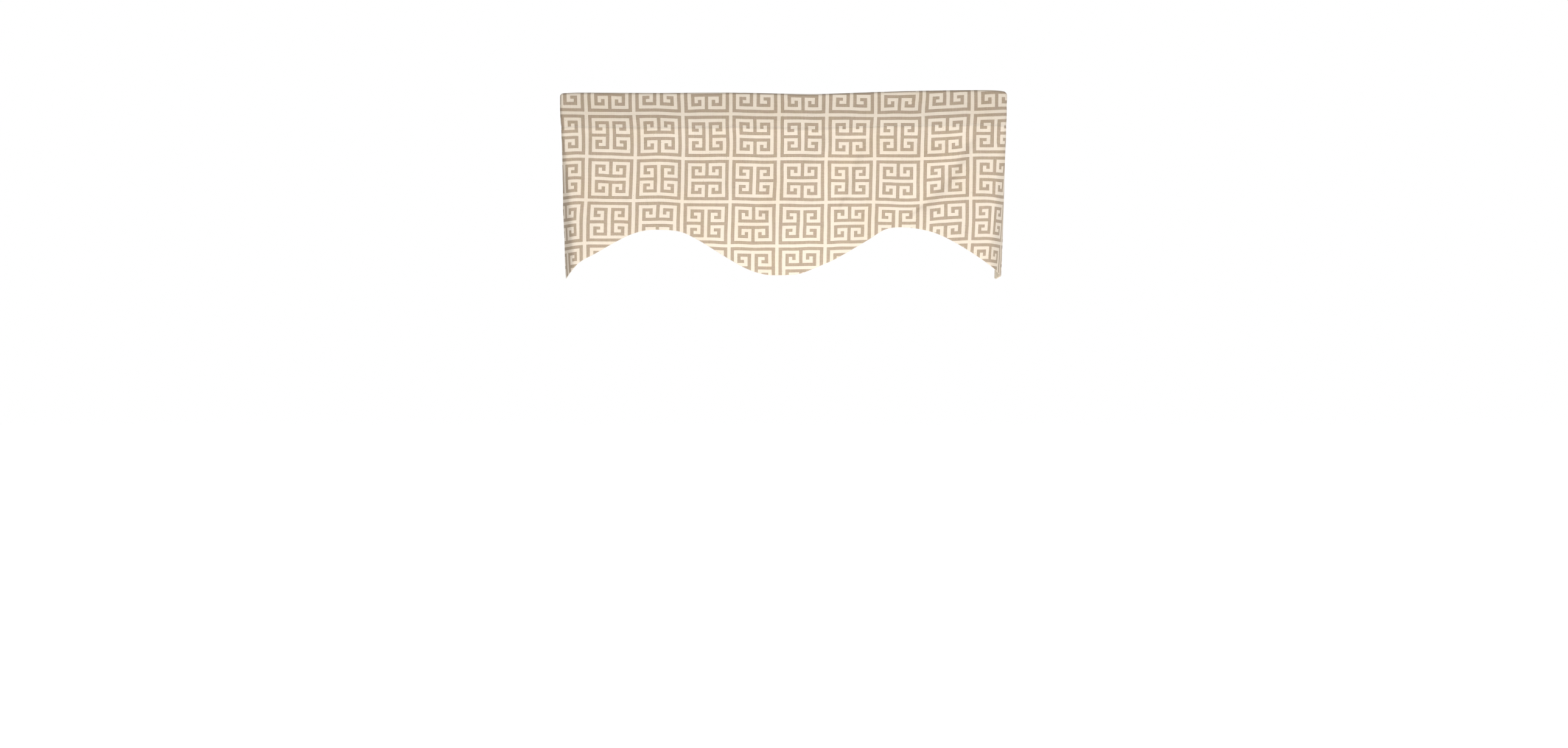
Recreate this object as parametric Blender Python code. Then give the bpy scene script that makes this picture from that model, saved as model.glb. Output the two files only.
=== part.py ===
"""Window valance: a shaped, lined cotton panel that hangs from a rod pocket, with a return at each end.

Metres, +Z up. X runs along the window, the room is on the -Y side and the wall on the +Y side.
The origin is the middle of the top edge, half way through the depth of the rod pocket.

Each cloth is one sheet that runs from the wall, round a soft corner, across the face, round the
other corner and back to the wall. Its points are worked out from two numbers: the station along
that path and the drop below the top edge.
"""
import math

import bmesh
import bpy

# Driving dimensions
FACE_WIDTH = 1.050  # across the front, at the rod
RETURN_DEPTH = 0.117  # from the front of the face to the wall
RETURN_DROP = 0.443  # from the top edge to the hem of the returns
COTTON = 0.0011  # thickness of the printed cotton
LINING = 0.0010  # thickness of the lining
LAYER_GAP = 0.0006  # between two cloths that lie on each other
POCKET_DEPTH = 0.013  # clear depth of the rod pocket, front to back
POCKET_FLAT = 0.062  # the pocket's walls are upright down to this drop
SEAM_DROP = 0.080  # the row of stitches that closes the pocket
LOOSE_DROP = 0.105  # below this drop the cloth hangs free
ROLL_HEIGHT = 0.007  # height of the rounded fold along the top
TURN_DROP = 0.026  # lower edge of the cotton that is turned over to the back
LINING_TOP = 0.0165  # the lining's top edge, under that turned-over cotton
LINING_SHORT = 0.002  # how far the lining stops above the cotton's hem
END_SHORT = 0.001  # how far the lining stops before the cotton's ends at the wall
LEAST_RADIUS = 0.004  # sharpest corner that the pocket's back wall takes
SEAM_SETBACK = 0.0028  # how far the seam lies behind the front of the pocket
HANG_SETBACK = 0.0042  # the same for the cloth below it
RETURN_BOW = 0.004  # how far a return bows inwards at the hem, half way to the wall

# Worked out from these
ROLL_HALF = (2 * COTTON + POCKET_DEPTH + LINING + LAYER_GAP) / 2
FRONT_Y = -ROLL_HALF
WALL_Y = FRONT_Y + RETURN_DEPTH
LINING_INSET = COTTON + LAYER_GAP
POCKET_INSET = COTTON + POCKET_DEPTH

LEFT, RIGHT = -1, 1
UP_TO_CORNER, UP_TO_RETURN, UP_TO_WALL = 1.0, 2.0, 3.0  # stations, counted from the middle

# The top edge's height above the origin: x, height
TOP_EDGE = (
    (-0.525, -0.0020),
    (-0.480, -0.0005),
    (-0.300, -0.0012),
    (-0.120, -0.0005),
    (0.000, -0.0028),
    (0.070, -0.0040),
    (0.140, -0.0020),
    (0.220, 0.0010),
    (0.330, 0.0040),
    (0.450, 0.0055),
    (0.500, 0.0050),
    (0.525, 0.0020),
)

# The shaped hem's drop: distance from the middle, drop on the left, drop on the right
HEM = (
    (0.000, 0.4320, 0.4320),
    (0.040, 0.4305, 0.4280),
    (0.080, 0.4190, 0.4125),
    (0.120, 0.3980, 0.3950),
    (0.160, 0.3735, 0.3725),
    (0.200, 0.3490, 0.3485),
    (0.240, 0.3300, 0.3240),
    (0.280, 0.3253, 0.3190),
    (0.320, 0.3258, 0.3230),
    (0.360, 0.3365, 0.3330),
    (0.400, 0.3566, 0.3515),
    (0.440, 0.3795, 0.3755),
    (0.480, 0.4020, 0.4015),
    (0.500, 0.4240, 0.4200),
    (0.5115, 0.4430, 0.4400),
)

# How each end's outline draws in below the pocket: drop, on the left, on the right
DRAW_IN = (
    (POCKET_FLAT, 0.0, 0.0),
    (0.068, 0.0014, 0.0007),
    (SEAM_DROP, 0.0022, 0.0014),
    (LOOSE_DROP, 0.0027, 0.0018),
    (0.150, 0.0036, 0.0023),
    (0.250, 0.0053, 0.0038),
    (0.340, 0.0071, 0.0060),
    (RETURN_DROP, 0.0100, 0.0094),
)

# Radius of the corner between face and return, outside: drop, on the left, on the right
CORNER = (
    (POCKET_FLAT, 0.008, 0.008),
    (LOOSE_DROP, 0.012, 0.013),
    (0.250, 0.022, 0.028),
    (RETURN_DROP, 0.029, 0.037),
)

# Soft folds of the face: upper end x and drop, lower end x and drop, half width, depth.
# A positive depth is a trough towards the wall, a negative one swells into the room.
FOLDS = (
    (0.442, 0.110, 0.285, 0.325, 0.028, 0.0070),
    (0.213, 0.110, 0.110, 0.300, 0.027, 0.0048),
    (-0.213, 0.110, -0.112, 0.300, 0.030, 0.0036),
    (-0.045, 0.100, -0.080, 0.240, 0.026, 0.0022),
    (-0.420, 0.225, -0.290, 0.250, 0.042, 0.0032),
    (0.338, 0.100, 0.345, 0.160, 0.022, 0.0026),
    (0.320, 0.170, 0.225, 0.330, 0.042, -0.0044),
    (0.450, 0.270, 0.425, 0.400, 0.036, -0.0042),
    (0.095, 0.150, 0.020, 0.330, 0.048, -0.0036),
    (-0.010, 0.330, -0.010, 0.430, 0.075, -0.0040),
    (-0.205, 0.210, -0.170, 0.330, 0.046, -0.0030),
    (-0.450, 0.150, -0.445, 0.370, 0.036, -0.0030),
)
FOLD_START = 0.085  # no fold above this drop
FOLD_FULL = 0.125  # full depth from here down
FOLD_INNER, FOLD_OUTER = 0.430, 0.492  # the folds die away between these distances from the middle

# How finely the sheets are divided
RETURN_STEPS = 3
CORNER_STEPS = 6
FACE_STEPS = 44
ROLL_STEPS = 6
POCKET_DROPS = (0.034, POCKET_FLAT, 0.071, SEAM_DROP, 0.091)
HANGING_STEPS = 10


def smooth(low, high, value):
    """0 up to low, 1 from high on, and a smooth rise between."""
    t = min(max((value - low) / (high - low), 0.0), 1.0)
    return t * t * (3 - 2 * t)


def slope(rows, i, column):
    """Slope of a table's column at row i, from its neighbours."""
    before, after = rows[max(i - 1, 0)], rows[min(i + 1, len(rows) - 1)]
    return (after[column] - before[column]) / (after[0] - before[0])


def read(rows, value, column=1):
    """A table's column, read smoothly between its rows and held level beyond them."""
    value = min(max(value, rows[0][0]), rows[-1][0])
    i = next(k for k in range(len(rows) - 1) if value <= rows[k + 1][0])
    span = rows[i + 1][0] - rows[i][0]
    t = (value - rows[i][0]) / span
    start, end = rows[i][column], rows[i + 1][column]
    rise, fall = slope(rows, i, column) * span, slope(rows, i + 1, column) * span
    return (
        start * (1 + 2 * t) * (1 - t) ** 2
        + rise * t * (1 - t) ** 2
        + end * t * t * (3 - 2 * t)
        - fall * t * t * (1 - t)
    )


def side_column(side):
    return 1 if side == LEFT else 2


def hem_drop(x):
    return read(HEM, abs(x), side_column(LEFT if x < 0 else RIGHT))


def setback(drop):
    """How far the face lies behind the front of the pocket."""
    to_seam = SEAM_SETBACK * smooth(POCKET_FLAT, SEAM_DROP, drop)
    below = (HANG_SETBACK - SEAM_SETBACK) * smooth(SEAM_DROP, LOOSE_DROP, drop)
    return to_seam + below


def fold_depth(x, drop):
    """Depth of the soft folds at a point of the face."""
    total = 0.0
    for x0, drop0, x1, drop1, half, depth in FOLDS:
        run, fall = x1 - x0, drop1 - drop0
        along = ((x - x0) * run + (drop - drop0) * fall) / (run * run + fall * fall)
        along = min(max(along, 0.0), 1.0)
        away = math.hypot(x - x0 - along * run, drop - drop0 - along * fall)
        total += depth * math.exp(-((away / half) ** 2))
    fade = smooth(FOLD_START, FOLD_FULL, drop) * (1 - smooth(FOLD_INNER, FOLD_OUTER, abs(x)))
    return total * fade


def plan(station, drop, inset):
    """X and Y of a point at a station, on the level line that lies inset behind the cotton's front.

    Stations run from -3 at the left wall, by -2 and -1 at the ends of the left corner, across
    the face to 1 and 2 at the ends of the right corner, and 3 at the right wall.
    """
    side = LEFT if station < 0 else RIGHT
    column = side_column(side)
    half = FACE_WIDTH / 2 - read(DRAW_IN, drop, column) - inset
    radius = max(read(CORNER, drop, column) - inset, LEAST_RADIUS)
    front = FRONT_Y + inset + setback(drop)
    along = abs(station)
    if along <= UP_TO_CORNER:
        x = side * along * (half - radius)
        return x, front + fold_depth(x, drop)
    if along <= UP_TO_RETURN:
        turn = (along - UP_TO_CORNER) * math.pi / 2
        return side * (half - radius + radius * math.sin(turn)), front + radius * (1 - math.cos(turn))
    back = along - UP_TO_RETURN
    bow = RETURN_BOW * smooth(SEAM_DROP, RETURN_DROP, drop) * math.sin(math.pi * back)
    return side * (half - bow), front + radius + back * (WALL_Y - front - radius)


def hem_at(station):
    """Drop of the hem at a station."""
    if abs(station) >= UP_TO_RETURN:
        return RETURN_DROP
    drop = hem_drop(plan(station, RETURN_DROP, 0.0)[0])
    return hem_drop(plan(station, drop, 0.0)[0])


def place(station, drop, inset):
    """A point of a sheet; the uneven top edge carries the pocket with it."""
    x, y = plan(station, drop, inset)
    lift = read(TOP_EDGE, x) * (1 - smooth(POCKET_FLAT, LOOSE_DROP, drop))
    return x, y, lift - drop


def stations():
    """Columns of a sheet, from the left wall to the right one."""
    half = [UP_TO_CORNER * k / (FACE_STEPS // 2) for k in range(FACE_STEPS // 2)]
    half += [UP_TO_CORNER + k / CORNER_STEPS for k in range(CORNER_STEPS)]
    half += [UP_TO_RETURN + k / RETURN_STEPS for k in range(RETURN_STEPS + 1)]
    return [-s for s in reversed(half[1:])] + half


def hanging_drops(station, short):
    """Drops of a column below the pocket, down to the hem."""
    hem = hem_at(station) - short
    return [LOOSE_DROP + (hem - LOOSE_DROP) * k / HANGING_STEPS for k in range(HANGING_STEPS + 1)]


def cotton_column(station):
    """Drop and inset down one column of the cotton: up its turned-over edge, over the top, down the front."""
    column = [(TURN_DROP, 2 * ROLL_HALF)]
    for k in range(ROLL_STEPS + 1):
        turn = math.pi * (1 - k / ROLL_STEPS)
        column.append((ROLL_HEIGHT * (1 - math.sin(turn)), ROLL_HALF * (1 - math.cos(turn))))
    column += [(drop, 0.0) for drop in POCKET_DROPS]
    return column + [(drop, 0.0) for drop in hanging_drops(station, 0.0)]


def lining_column(station):
    """The same down one column of the lining: the pocket's back wall, then close behind the cotton."""
    drops = [LINING_TOP, *POCKET_DROPS, *hanging_drops(station, LINING_SHORT)]
    column = []
    for drop in drops:
        apart = 1 - smooth(POCKET_FLAT, SEAM_DROP, drop)
        column.append((drop, LINING_INSET + (POCKET_INSET - LINING_INSET) * apart))
    return column


def material(name, colour):
    cloth = bpy.data.materials.new(name)
    cloth.use_nodes = True
    shader = cloth.node_tree.nodes["Principled BSDF"]
    shader.inputs["Base Color"].default_value = (*colour, 1.0)
    shader.inputs["Roughness"].default_value = 0.9
    shader.inputs["Metallic"].default_value = 0.0
    return cloth


def sheet(name, column_of, end_short, thickness, colour):
    """One cloth: a grid of its outer side, given its thickness inwards."""
    last = UP_TO_WALL - end_short / RETURN_DEPTH
    bm = bmesh.new()
    grid = []
    for station in stations():
        station = min(max(station, -last), last)
        grid.append([bm.verts.new(place(station, *point)) for point in column_of(station)])
    for left, right in zip(grid, grid[1:]):
        for k in range(len(left) - 1):
            bm.faces.new((left[k], left[k + 1], right[k + 1], right[k]))
    mesh = bpy.data.meshes.new(name)
    bm.to_mesh(mesh)
    bm.free()
    mesh.shade_smooth()
    mesh.materials.append(material(name, colour))
    cloth = bpy.data.objects.new(name, mesh)
    bpy.context.scene.collection.objects.link(cloth)
    solid = cloth.modifiers.new("thickness", "SOLIDIFY")
    solid.thickness = thickness
    solid.offset = -1.0
    solid.use_even_offset = True
    return cloth


def clear_scene():
    for old in list(bpy.data.objects):
        bpy.data.objects.remove(old, do_unlink=True)


def build():
    clear_scene()
    sheet("face_panel", cotton_column, 0.0, COTTON, (0.68, 0.57, 0.44))
    sheet("lining_panel", lining_column, END_SHORT, LINING, (0.74, 0.66, 0.53))


build()
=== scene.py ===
"""Window valance: the printed cotton panel, its lining and its stitches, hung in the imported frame."""
import math

import bpy
import numpy as np
from bpy.props import FloatProperty, FloatVectorProperty, PointerProperty
from bpy.types import Operator, Panel, PropertyGroup
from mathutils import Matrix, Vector


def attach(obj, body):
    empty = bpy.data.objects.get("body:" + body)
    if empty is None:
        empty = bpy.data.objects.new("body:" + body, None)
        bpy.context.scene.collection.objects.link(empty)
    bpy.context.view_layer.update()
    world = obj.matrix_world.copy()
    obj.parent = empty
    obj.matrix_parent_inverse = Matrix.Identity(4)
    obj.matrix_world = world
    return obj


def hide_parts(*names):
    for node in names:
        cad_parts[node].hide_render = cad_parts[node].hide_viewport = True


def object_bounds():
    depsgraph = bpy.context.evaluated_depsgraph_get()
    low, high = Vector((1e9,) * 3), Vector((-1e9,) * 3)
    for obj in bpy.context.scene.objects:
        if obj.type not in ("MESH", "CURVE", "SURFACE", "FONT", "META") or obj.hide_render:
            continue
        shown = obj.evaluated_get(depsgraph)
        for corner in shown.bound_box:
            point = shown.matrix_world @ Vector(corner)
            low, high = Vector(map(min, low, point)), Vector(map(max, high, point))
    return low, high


bl_info = {
    "name": "Window valance",
    "version": (1, 0, 0),
    "blender": (4, 5, 0),
    "location": "3D View > Sidebar > Valance",
    "description": "Makes the cotton, the lining and the stitches of a lined window valance",
    "category": "Object",
}

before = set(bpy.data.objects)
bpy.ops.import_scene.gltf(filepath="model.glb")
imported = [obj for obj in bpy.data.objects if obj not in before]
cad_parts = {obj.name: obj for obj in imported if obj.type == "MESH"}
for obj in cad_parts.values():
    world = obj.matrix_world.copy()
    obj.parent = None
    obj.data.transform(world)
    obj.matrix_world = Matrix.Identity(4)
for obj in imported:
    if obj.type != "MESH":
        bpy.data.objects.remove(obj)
CAD_BOX = [list(corner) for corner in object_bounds()]
END_SWELL = 0.0031  # how far the cloth stands out past the solids at each end of the pocket
FACE_WIDTH = round(CAD_BOX[1][0] - CAD_BOX[0][0] + 2 * END_SWELL, 4)

# -------- shape of the hanging cloth

POCKET_FLAT = 0.062  # the pocket's walls are upright down to this drop
SEAM_DROP = 0.080  # the row of stitches that closes the pocket
LOOSE_DROP = 0.105  # below this drop the cloth hangs free
ROLL_HEIGHT = 0.007  # height of the rounded fold along the top
TURN_DROP = 0.026  # lower edge of the cotton that is turned over to the back
TURN_STITCH = 0.021  # the row of stitches that holds it to the lining
LINING_TOP = 0.0165  # the lining's top edge, under that turned-over cotton
LINING_SHORT = 0.002  # how far the lining stops above the cotton's hem
END_SHORT = 0.001  # how far the lining stops before the cotton's ends at the wall
LEAST_RADIUS = 0.004  # of the innermost layer at the rod's corner
SEAM_SETBACK = 0.0028  # how far the face lies back at the seam
HANG_SETBACK = 0.0042  # how far it lies back where it hangs free
RETURN_BOW = 0.004  # how far the returns bow inwards, half way to the wall
WALL_RISE = 0.006  # how far the hem of the returns rises at the wall
GROOVE_DEPTH, GROOVE_HALF = 0.0004, 0.0030  # of the pocket's seam
PUCKER_REACH = (0.012, 0.030)  # of the puckers, above the seam and below it
SLACK_DROP = 0.130  # the slack below the seam is full from here on
FOLD_TOP = (0.085, 0.125)  # drops between which the folds of the face set in
FOLD_ENDS = (0.430, 0.485)  # distances from the middle between which they fade out
FREE_DROP = 0.120  # below this drop the corners are soft creases
SEAM_ZONE = 0.004  # rows lie closer together this far above and below the seam

UP_TO_CORNER, UP_TO_RETURN, UP_TO_WALL = 1.0, 2.0, 3.0  # stations, counted from the middle
SINK_FROM, SINK_PAST = 1.2, 0.006  # a return's top sinks from this station to so far past the corner
TIP = 1.85  # the station of each hem's lowest point, at the rim that is seen from the room

TENTHS = 10000  # the tables below are in tenths of a millimetre

# The top edge's height above the origin: x, height
TOP_EDGE = (
    (-5250, -20),
    (-4800, -5),
    (-3000, -12),
    (-1200, -5),
    (0, -28),
    (700, -40),
    (1400, -20),
    (2200, 10),
    (3300, 40),
    (4500, 55),
    (5000, 50),
    (5250, 20),
)

# The shaped hem's drop, as it looks from the room: distance from the middle, drop on the left and right
HEM = (
    (0, 4320, 4320),
    (400, 4305, 4280),
    (800, 4190, 4125),
    (1200, 3980, 3950),
    (1600, 3735, 3725),
    (2000, 3490, 3485),
    (2400, 3300, 3240),
    (2800, 3253, 3190),
    (3200, 3258, 3230),
    (3600, 3365, 3330),
    (4000, 3566, 3515),
    (4400, 3795, 3755),
    (4800, 4020, 4030),
    (5000, 4240, 4190),
    (5115, 4402, 4325),
)

RETURN_HEM = (0.4140, 0.4334)  # drop of each return's hem at the wall, left and right
RETURN_FLARE = (0.0020, -0.0110)  # how far each return's lower back corner spreads outwards

# How each end's outline draws in below the top edge: drop, on the left, on the right
DRAW_IN = (
    (0, 17, 0),
    (480, 26, 12),
    (800, 42, 14),
    (1120, 51, 14),
    (1430, 61, 22),
    (2070, 60, 15),
    (2450, 56, 8),
    (2770, 53, 6),
    (3090, 66, 4),
    (3410, 83, 1),
    (3730, 91, 5),
    (4050, 98, 15),
    (4430, 113, 34),
)

# Where the cloth turns back to the wall: drop, how far the turn reaches across the front and how far
# towards the wall, first on the left and then on the right
CORNER = (
    (620, 80, 80, 80, 80),
    (1050, 85, 90, 135, 180),
    (1500, 115, 120, 190, 240),
    (1900, 158, 200, 235, 340),
    (2900, 230, 390, 285, 700),
    (3700, 243, 410, 380, 940),
    (4430, 250, 430, 410, 970),
)
CORNER_ROUND = 0.008  # radius of the corner at the rod
CREASE_BEFORE, CREASE_SOFT = 0.35, 0.13  # where the turn starts and how soft its crease is
RETURN_SINK = (0.0015, 0.0040)  # how far the returns' top edges lie below the face's, left and right

# Irregular drifts of the cloth and of its print: seed, height, length along the cloth, the drop over
# which it leans by one such length, and length down
LEVEL = math.inf
PUCKERS = (3, 0.0009, 0.012, 0.06, 0.05)
SLACK = (5, 0.0009, 0.030, 0.15, 0.12)
WIDE_SLACK = (8, 0.0012, 0.090, LEVEL, 0.14)
FINE = (13, 0.00016, 0.013, LEVEL, 0.017)
POCKET = (21, 0.0005, 0.022, -0.05, 0.05)
PRINT_ACROSS = (31, 0.0060, 0.035, LEVEL, 0.042), (37, 0.0015, 0.012, LEVEL, 0.013)
PRINT_DOWN = (41, 0.0070, 0.038, LEVEL, 0.040), (43, 0.0015, 0.013, LEVEL, 0.012)

# Soft folds of the face: half width on the left and on the right of the line, depth, then the x and
# drop of each point that the line passes. A positive depth is a trough towards the wall, a negative
# one swells into the room.
FOLDS = (
    (400, 160, 76, 4370, 1040, 4040, 1760, 3690, 2190, 3340, 2580),
    (340, 130, 48, 1820, 1040, 1760, 1400, 1550, 1940, 1430, 2400),
    (200, 120, 24, 3140, 960, 3210, 1500, 3350, 1910),
    (240, 110, 15, -1970, 1250, -1760, 1590, -1450, 1900),
    (240, 110, 16, -2680, 1590, -2470, 2090, -2260, 2650),
    (240, 110, 18, -620, 950, -530, 1870, -460, 2720),
    (240, 110, 18, 390, 1060, 460, 1600, 640, 2380),
    (300, 300, 10, -2130, 1100, -1600, 2100, -1120, 3000),
    (420, 420, 20, -4200, 2250, -2900, 2500),
    (400, 400, -28, 3200, 1700, 2250, 3300),
    (360, 360, -30, 4500, 2700, 4250, 4000),
    (480, 480, -24, 950, 1500, 200, 3300),
    (750, 750, -30, -100, 3300, -100, 4300),
    (460, 460, -18, -2050, 2100, -1700, 3300),
    (360, 360, -18, -4500, 1500, -4450, 3700),
)

# Small creases and gathers at the pocket and its seam, in the same columns
CREASES = (
    (50, 50, -15, 3860, 1960, 4270, 1700),
    (60, 60, -8, 4020, 2040, 4300, 1880),
    (40, 40, -6, 3300, 600, 3520, 920),
    (35, 35, -5, 3400, 560, 3720, 860),
    (40, 40, -5, 4080, 920, 4460, 780),
    (180, 100, 12, -3920, 260, -2890, 680),
    (160, 80, 10, -2320, 120, -2030, 710),
    (160, 70, 14, -1000, 40, -890, 400, -650, 730),
    (160, 70, 8, 590, 200, 590, 680),
    (160, 70, 8, 1400, 220, 1650, 720),
    (160, 70, 10, 1970, 60, 2110, 600),
    (140, 65, 9, 2430, 40, 2470, 340),
    (140, 65, 8, 2710, 100, 2730, 580),
    (140, 60, 14, 3090, 20, 3100, 340),
    (120, 70, 11, 2140, 860, 2110, 1160),
    (120, 70, 11, 2500, 860, 2470, 1120),
    (120, 70, 12, 3630, 880, 3570, 1220),
    (100, 70, 12, 3850, 880, 3790, 1280),
    (120, 70, 12, 4190, 880, 4090, 1160),
    (140, 80, 14, 4540, 860, 4490, 1120),
    (160, 90, 11, -4090, 820, -3850, 1240),
)

# -------- how the print hangs

# The upright light bands between the print's blocks: drop, the x of each band, and the x of the
# middle of the block that turns round the right end
UPRIGHTS = (
    (100, -4650, -3517, -2371, -1235, -96, 1040, 2182, 3318, 4460, 5030),
    (500, -4634, -3507, -2362, -1238, -100, 1030, 2176, 3299, 4451, 5025),
    (1100, -4617, -3478, -2351, -1222, -99, 1029, 2153, 3285, 4421, 5004),
    (1700, -4626, -3484, -2352, -1235, -106, 1014, 2153, 3265, 4428, 4990),
    (2510, -4643, -3511, -2369, -1249, -127, 1004, 2133, 3250, 4419, 4961),
    (3110, -4670, -3525, -2391, -1261, -138, 1001, 2113, 3240, 4408, 4938),
    (3910, -4671, -3545, -2405, -1275, -149, 981, 2095, 3215, 4368, 4889),
)

# The level light bands: x, then the drop of each band
LEVELS = (
    (-5160, 497, 1526, 2574, 3627),
    (-4880, 501, 1510, 2536, 3577),
    (-4590, 506, 1519, 2544, 3560),
    (-4100, 507, 1536, 2555, 3561),
    (-3530, 508, 1554, 2557, 3573),
    (-2870, 504, 1540, 2553, 3587),
    (-2300, 524, 1571, 2589, 3599),
    (-1730, 524, 1568, 2589, 3611),
    (-1150, 524, 1564, 2589, 3621),
    (-580, 534, 1581, 2602, 3628),
    (-10, 539, 1579, 2596, 3629),
    (570, 543, 1577, 2609, 3614),
    (1140, 545, 1586, 2596, 3617),
    (1710, 550, 1587, 2589, 3601),
    (2200, 555, 1577, 2597, 3588),
    (2770, 553, 1582, 2616, 3573),
    (3140, 549, 1581, 2609, 3562),
    (3430, 526, 1571, 2577, 3555),
    (3720, 507, 1559, 2544, 3547),
    (4000, 497, 1543, 2525, 3539),
    (4290, 481, 1506, 2505, 3531),
    (4580, 478, 1480, 2501, 3531),
    (4860, 467, 1480, 2504, 3531),
    (5150, 456, 1480, 2547, 3581),
)

# Both tables are as the bands look from the middle of the room
VIEW_X, VIEW_Z, VIEW_AWAY = 0.0021, -0.664, 3.7
FACE_FORWARD = 0.0084  # how far the face lies in front of the origin
SENSOR, LENS = 36.0, 36.1  # of the camera, in millimetres

# One quarter of a block of the key pattern, mirrored to make the whole: a row of each line,
# . for cream and # for taupe
BLOCK_UNITS = 14
QUARTER = (
    "........",
    ".#######",
    ".#......",
    ".#.####.",
    ".#.#..#.",
    ".#.##.#.",
    ".#....#.",
    ".######.",
)

STREAK_LOW = 0.38  # the yarns' noise is darkest up to here
PRINT_BLEED = 0.0035  # how far the print's edges wander, as a part of a block
LINING_FINER = 0.8  # the lining's yarn spacing against the cotton's

# How finely the cloths are divided
RETURN_STEPS, CORNER_STEPS, FACE_STEPS = 14, 30, 145  # each for one half
TURN_STEPS, ROLL_STEPS, POCKET_STEPS, SEAM_STEPS, HANGING_STEPS = 6, 12, 14, 14, 66
EDGE_STEPS = 3  # points round the edge of a cloth


def smooth(low, high, value):
    """0 up to low, 1 from high on, and a smooth rise between."""
    t = np.clip((value - low) / (high - low), 0.0, 1.0)
    return t * t * (3 - 2 * t)


def read(rows, value, column=1):
    """A table's column, read smoothly between its rows and held level beyond them."""
    table = np.asarray(rows) / TENTHS
    at, level = table[:, 0], table[:, column]
    k = np.arange(len(at))
    before, after = np.maximum(k - 1, 0), np.minimum(k + 1, len(at) - 1)
    slope = (level[after] - level[before]) / (at[after] - at[before])
    value = np.clip(value, at[0], at[-1])
    i = np.clip(np.searchsorted(at, value) - 1, 0, len(at) - 2)
    span = at[i + 1] - at[i]
    t = (value - at[i]) / span
    return (
        level[i] * (1 + 2 * t) * (1 - t) ** 2
        + slope[i] * span * t * (1 - t) ** 2
        + level[i + 1] * t * t * (3 - 2 * t)
        - slope[i + 1] * span * t * t * (1 - t)
    )


def sided(left, rows, value, columns=(1, 2)):
    """One column of a table on the left and another on the right."""
    return np.where(left, *(read(rows, value, column) for column in columns))


def drift(seed, a, b):
    """Smooth irregular heights between -1 and 1, from a fixed lattice with a spacing of 1."""
    lattice = np.random.default_rng(seed).uniform(-1, 1, (97, 97))
    i, j = np.floor(a).astype(int), np.floor(b).astype(int)
    s, t = smooth(0, 1, a - i), smooth(0, 1, b - j)

    def at(p, q):
        return lattice[p % 97, q % 97]

    return (
        at(i, j) * (1 - s) * (1 - t)
        + at(i + 1, j) * s * (1 - t)
        + at(i, j + 1) * (1 - s) * t
        + at(i + 1, j + 1) * s * t
    )


def uneven(kind, run, drop):
    """Height of one of the irregular drifts."""
    seed, height, along, lean, down = kind
    return height * drift(seed, run / along + drop / lean, drop / down)


def lines_depth(lines, x, drop):
    """Depth that a table of folds or creases gives a point of the face."""
    total = 0.0
    for line in lines:
        left_half, right_half, depth, *way = (value / TENTHS for value in line)
        points = list(zip(way[::2], way[1::2]))
        away, side = np.full(np.shape(x), np.inf), np.zeros(np.shape(x))
        for (x0, drop0), (x1, drop1) in zip(points, points[1:]):
            run, fall = x1 - x0, drop1 - drop0
            along = ((x - x0) * run + (drop - drop0) * fall) / (run * run + fall * fall)
            along = np.clip(along, 0, 1)
            across, down = x - x0 - along * run, drop - drop0 - along * fall
            distance = np.hypot(across, down)
            nearer = distance < away
            offset = (across * fall - down * run) / math.hypot(run, fall)
            away, side = np.where(nearer, distance, away), np.where(nearer, offset, side)
        half = left_half + (right_half - left_half) * smooth(-0.004, 0.004, side)
        total = total + depth * np.exp(-((away / half) ** 2))
    return total


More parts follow.
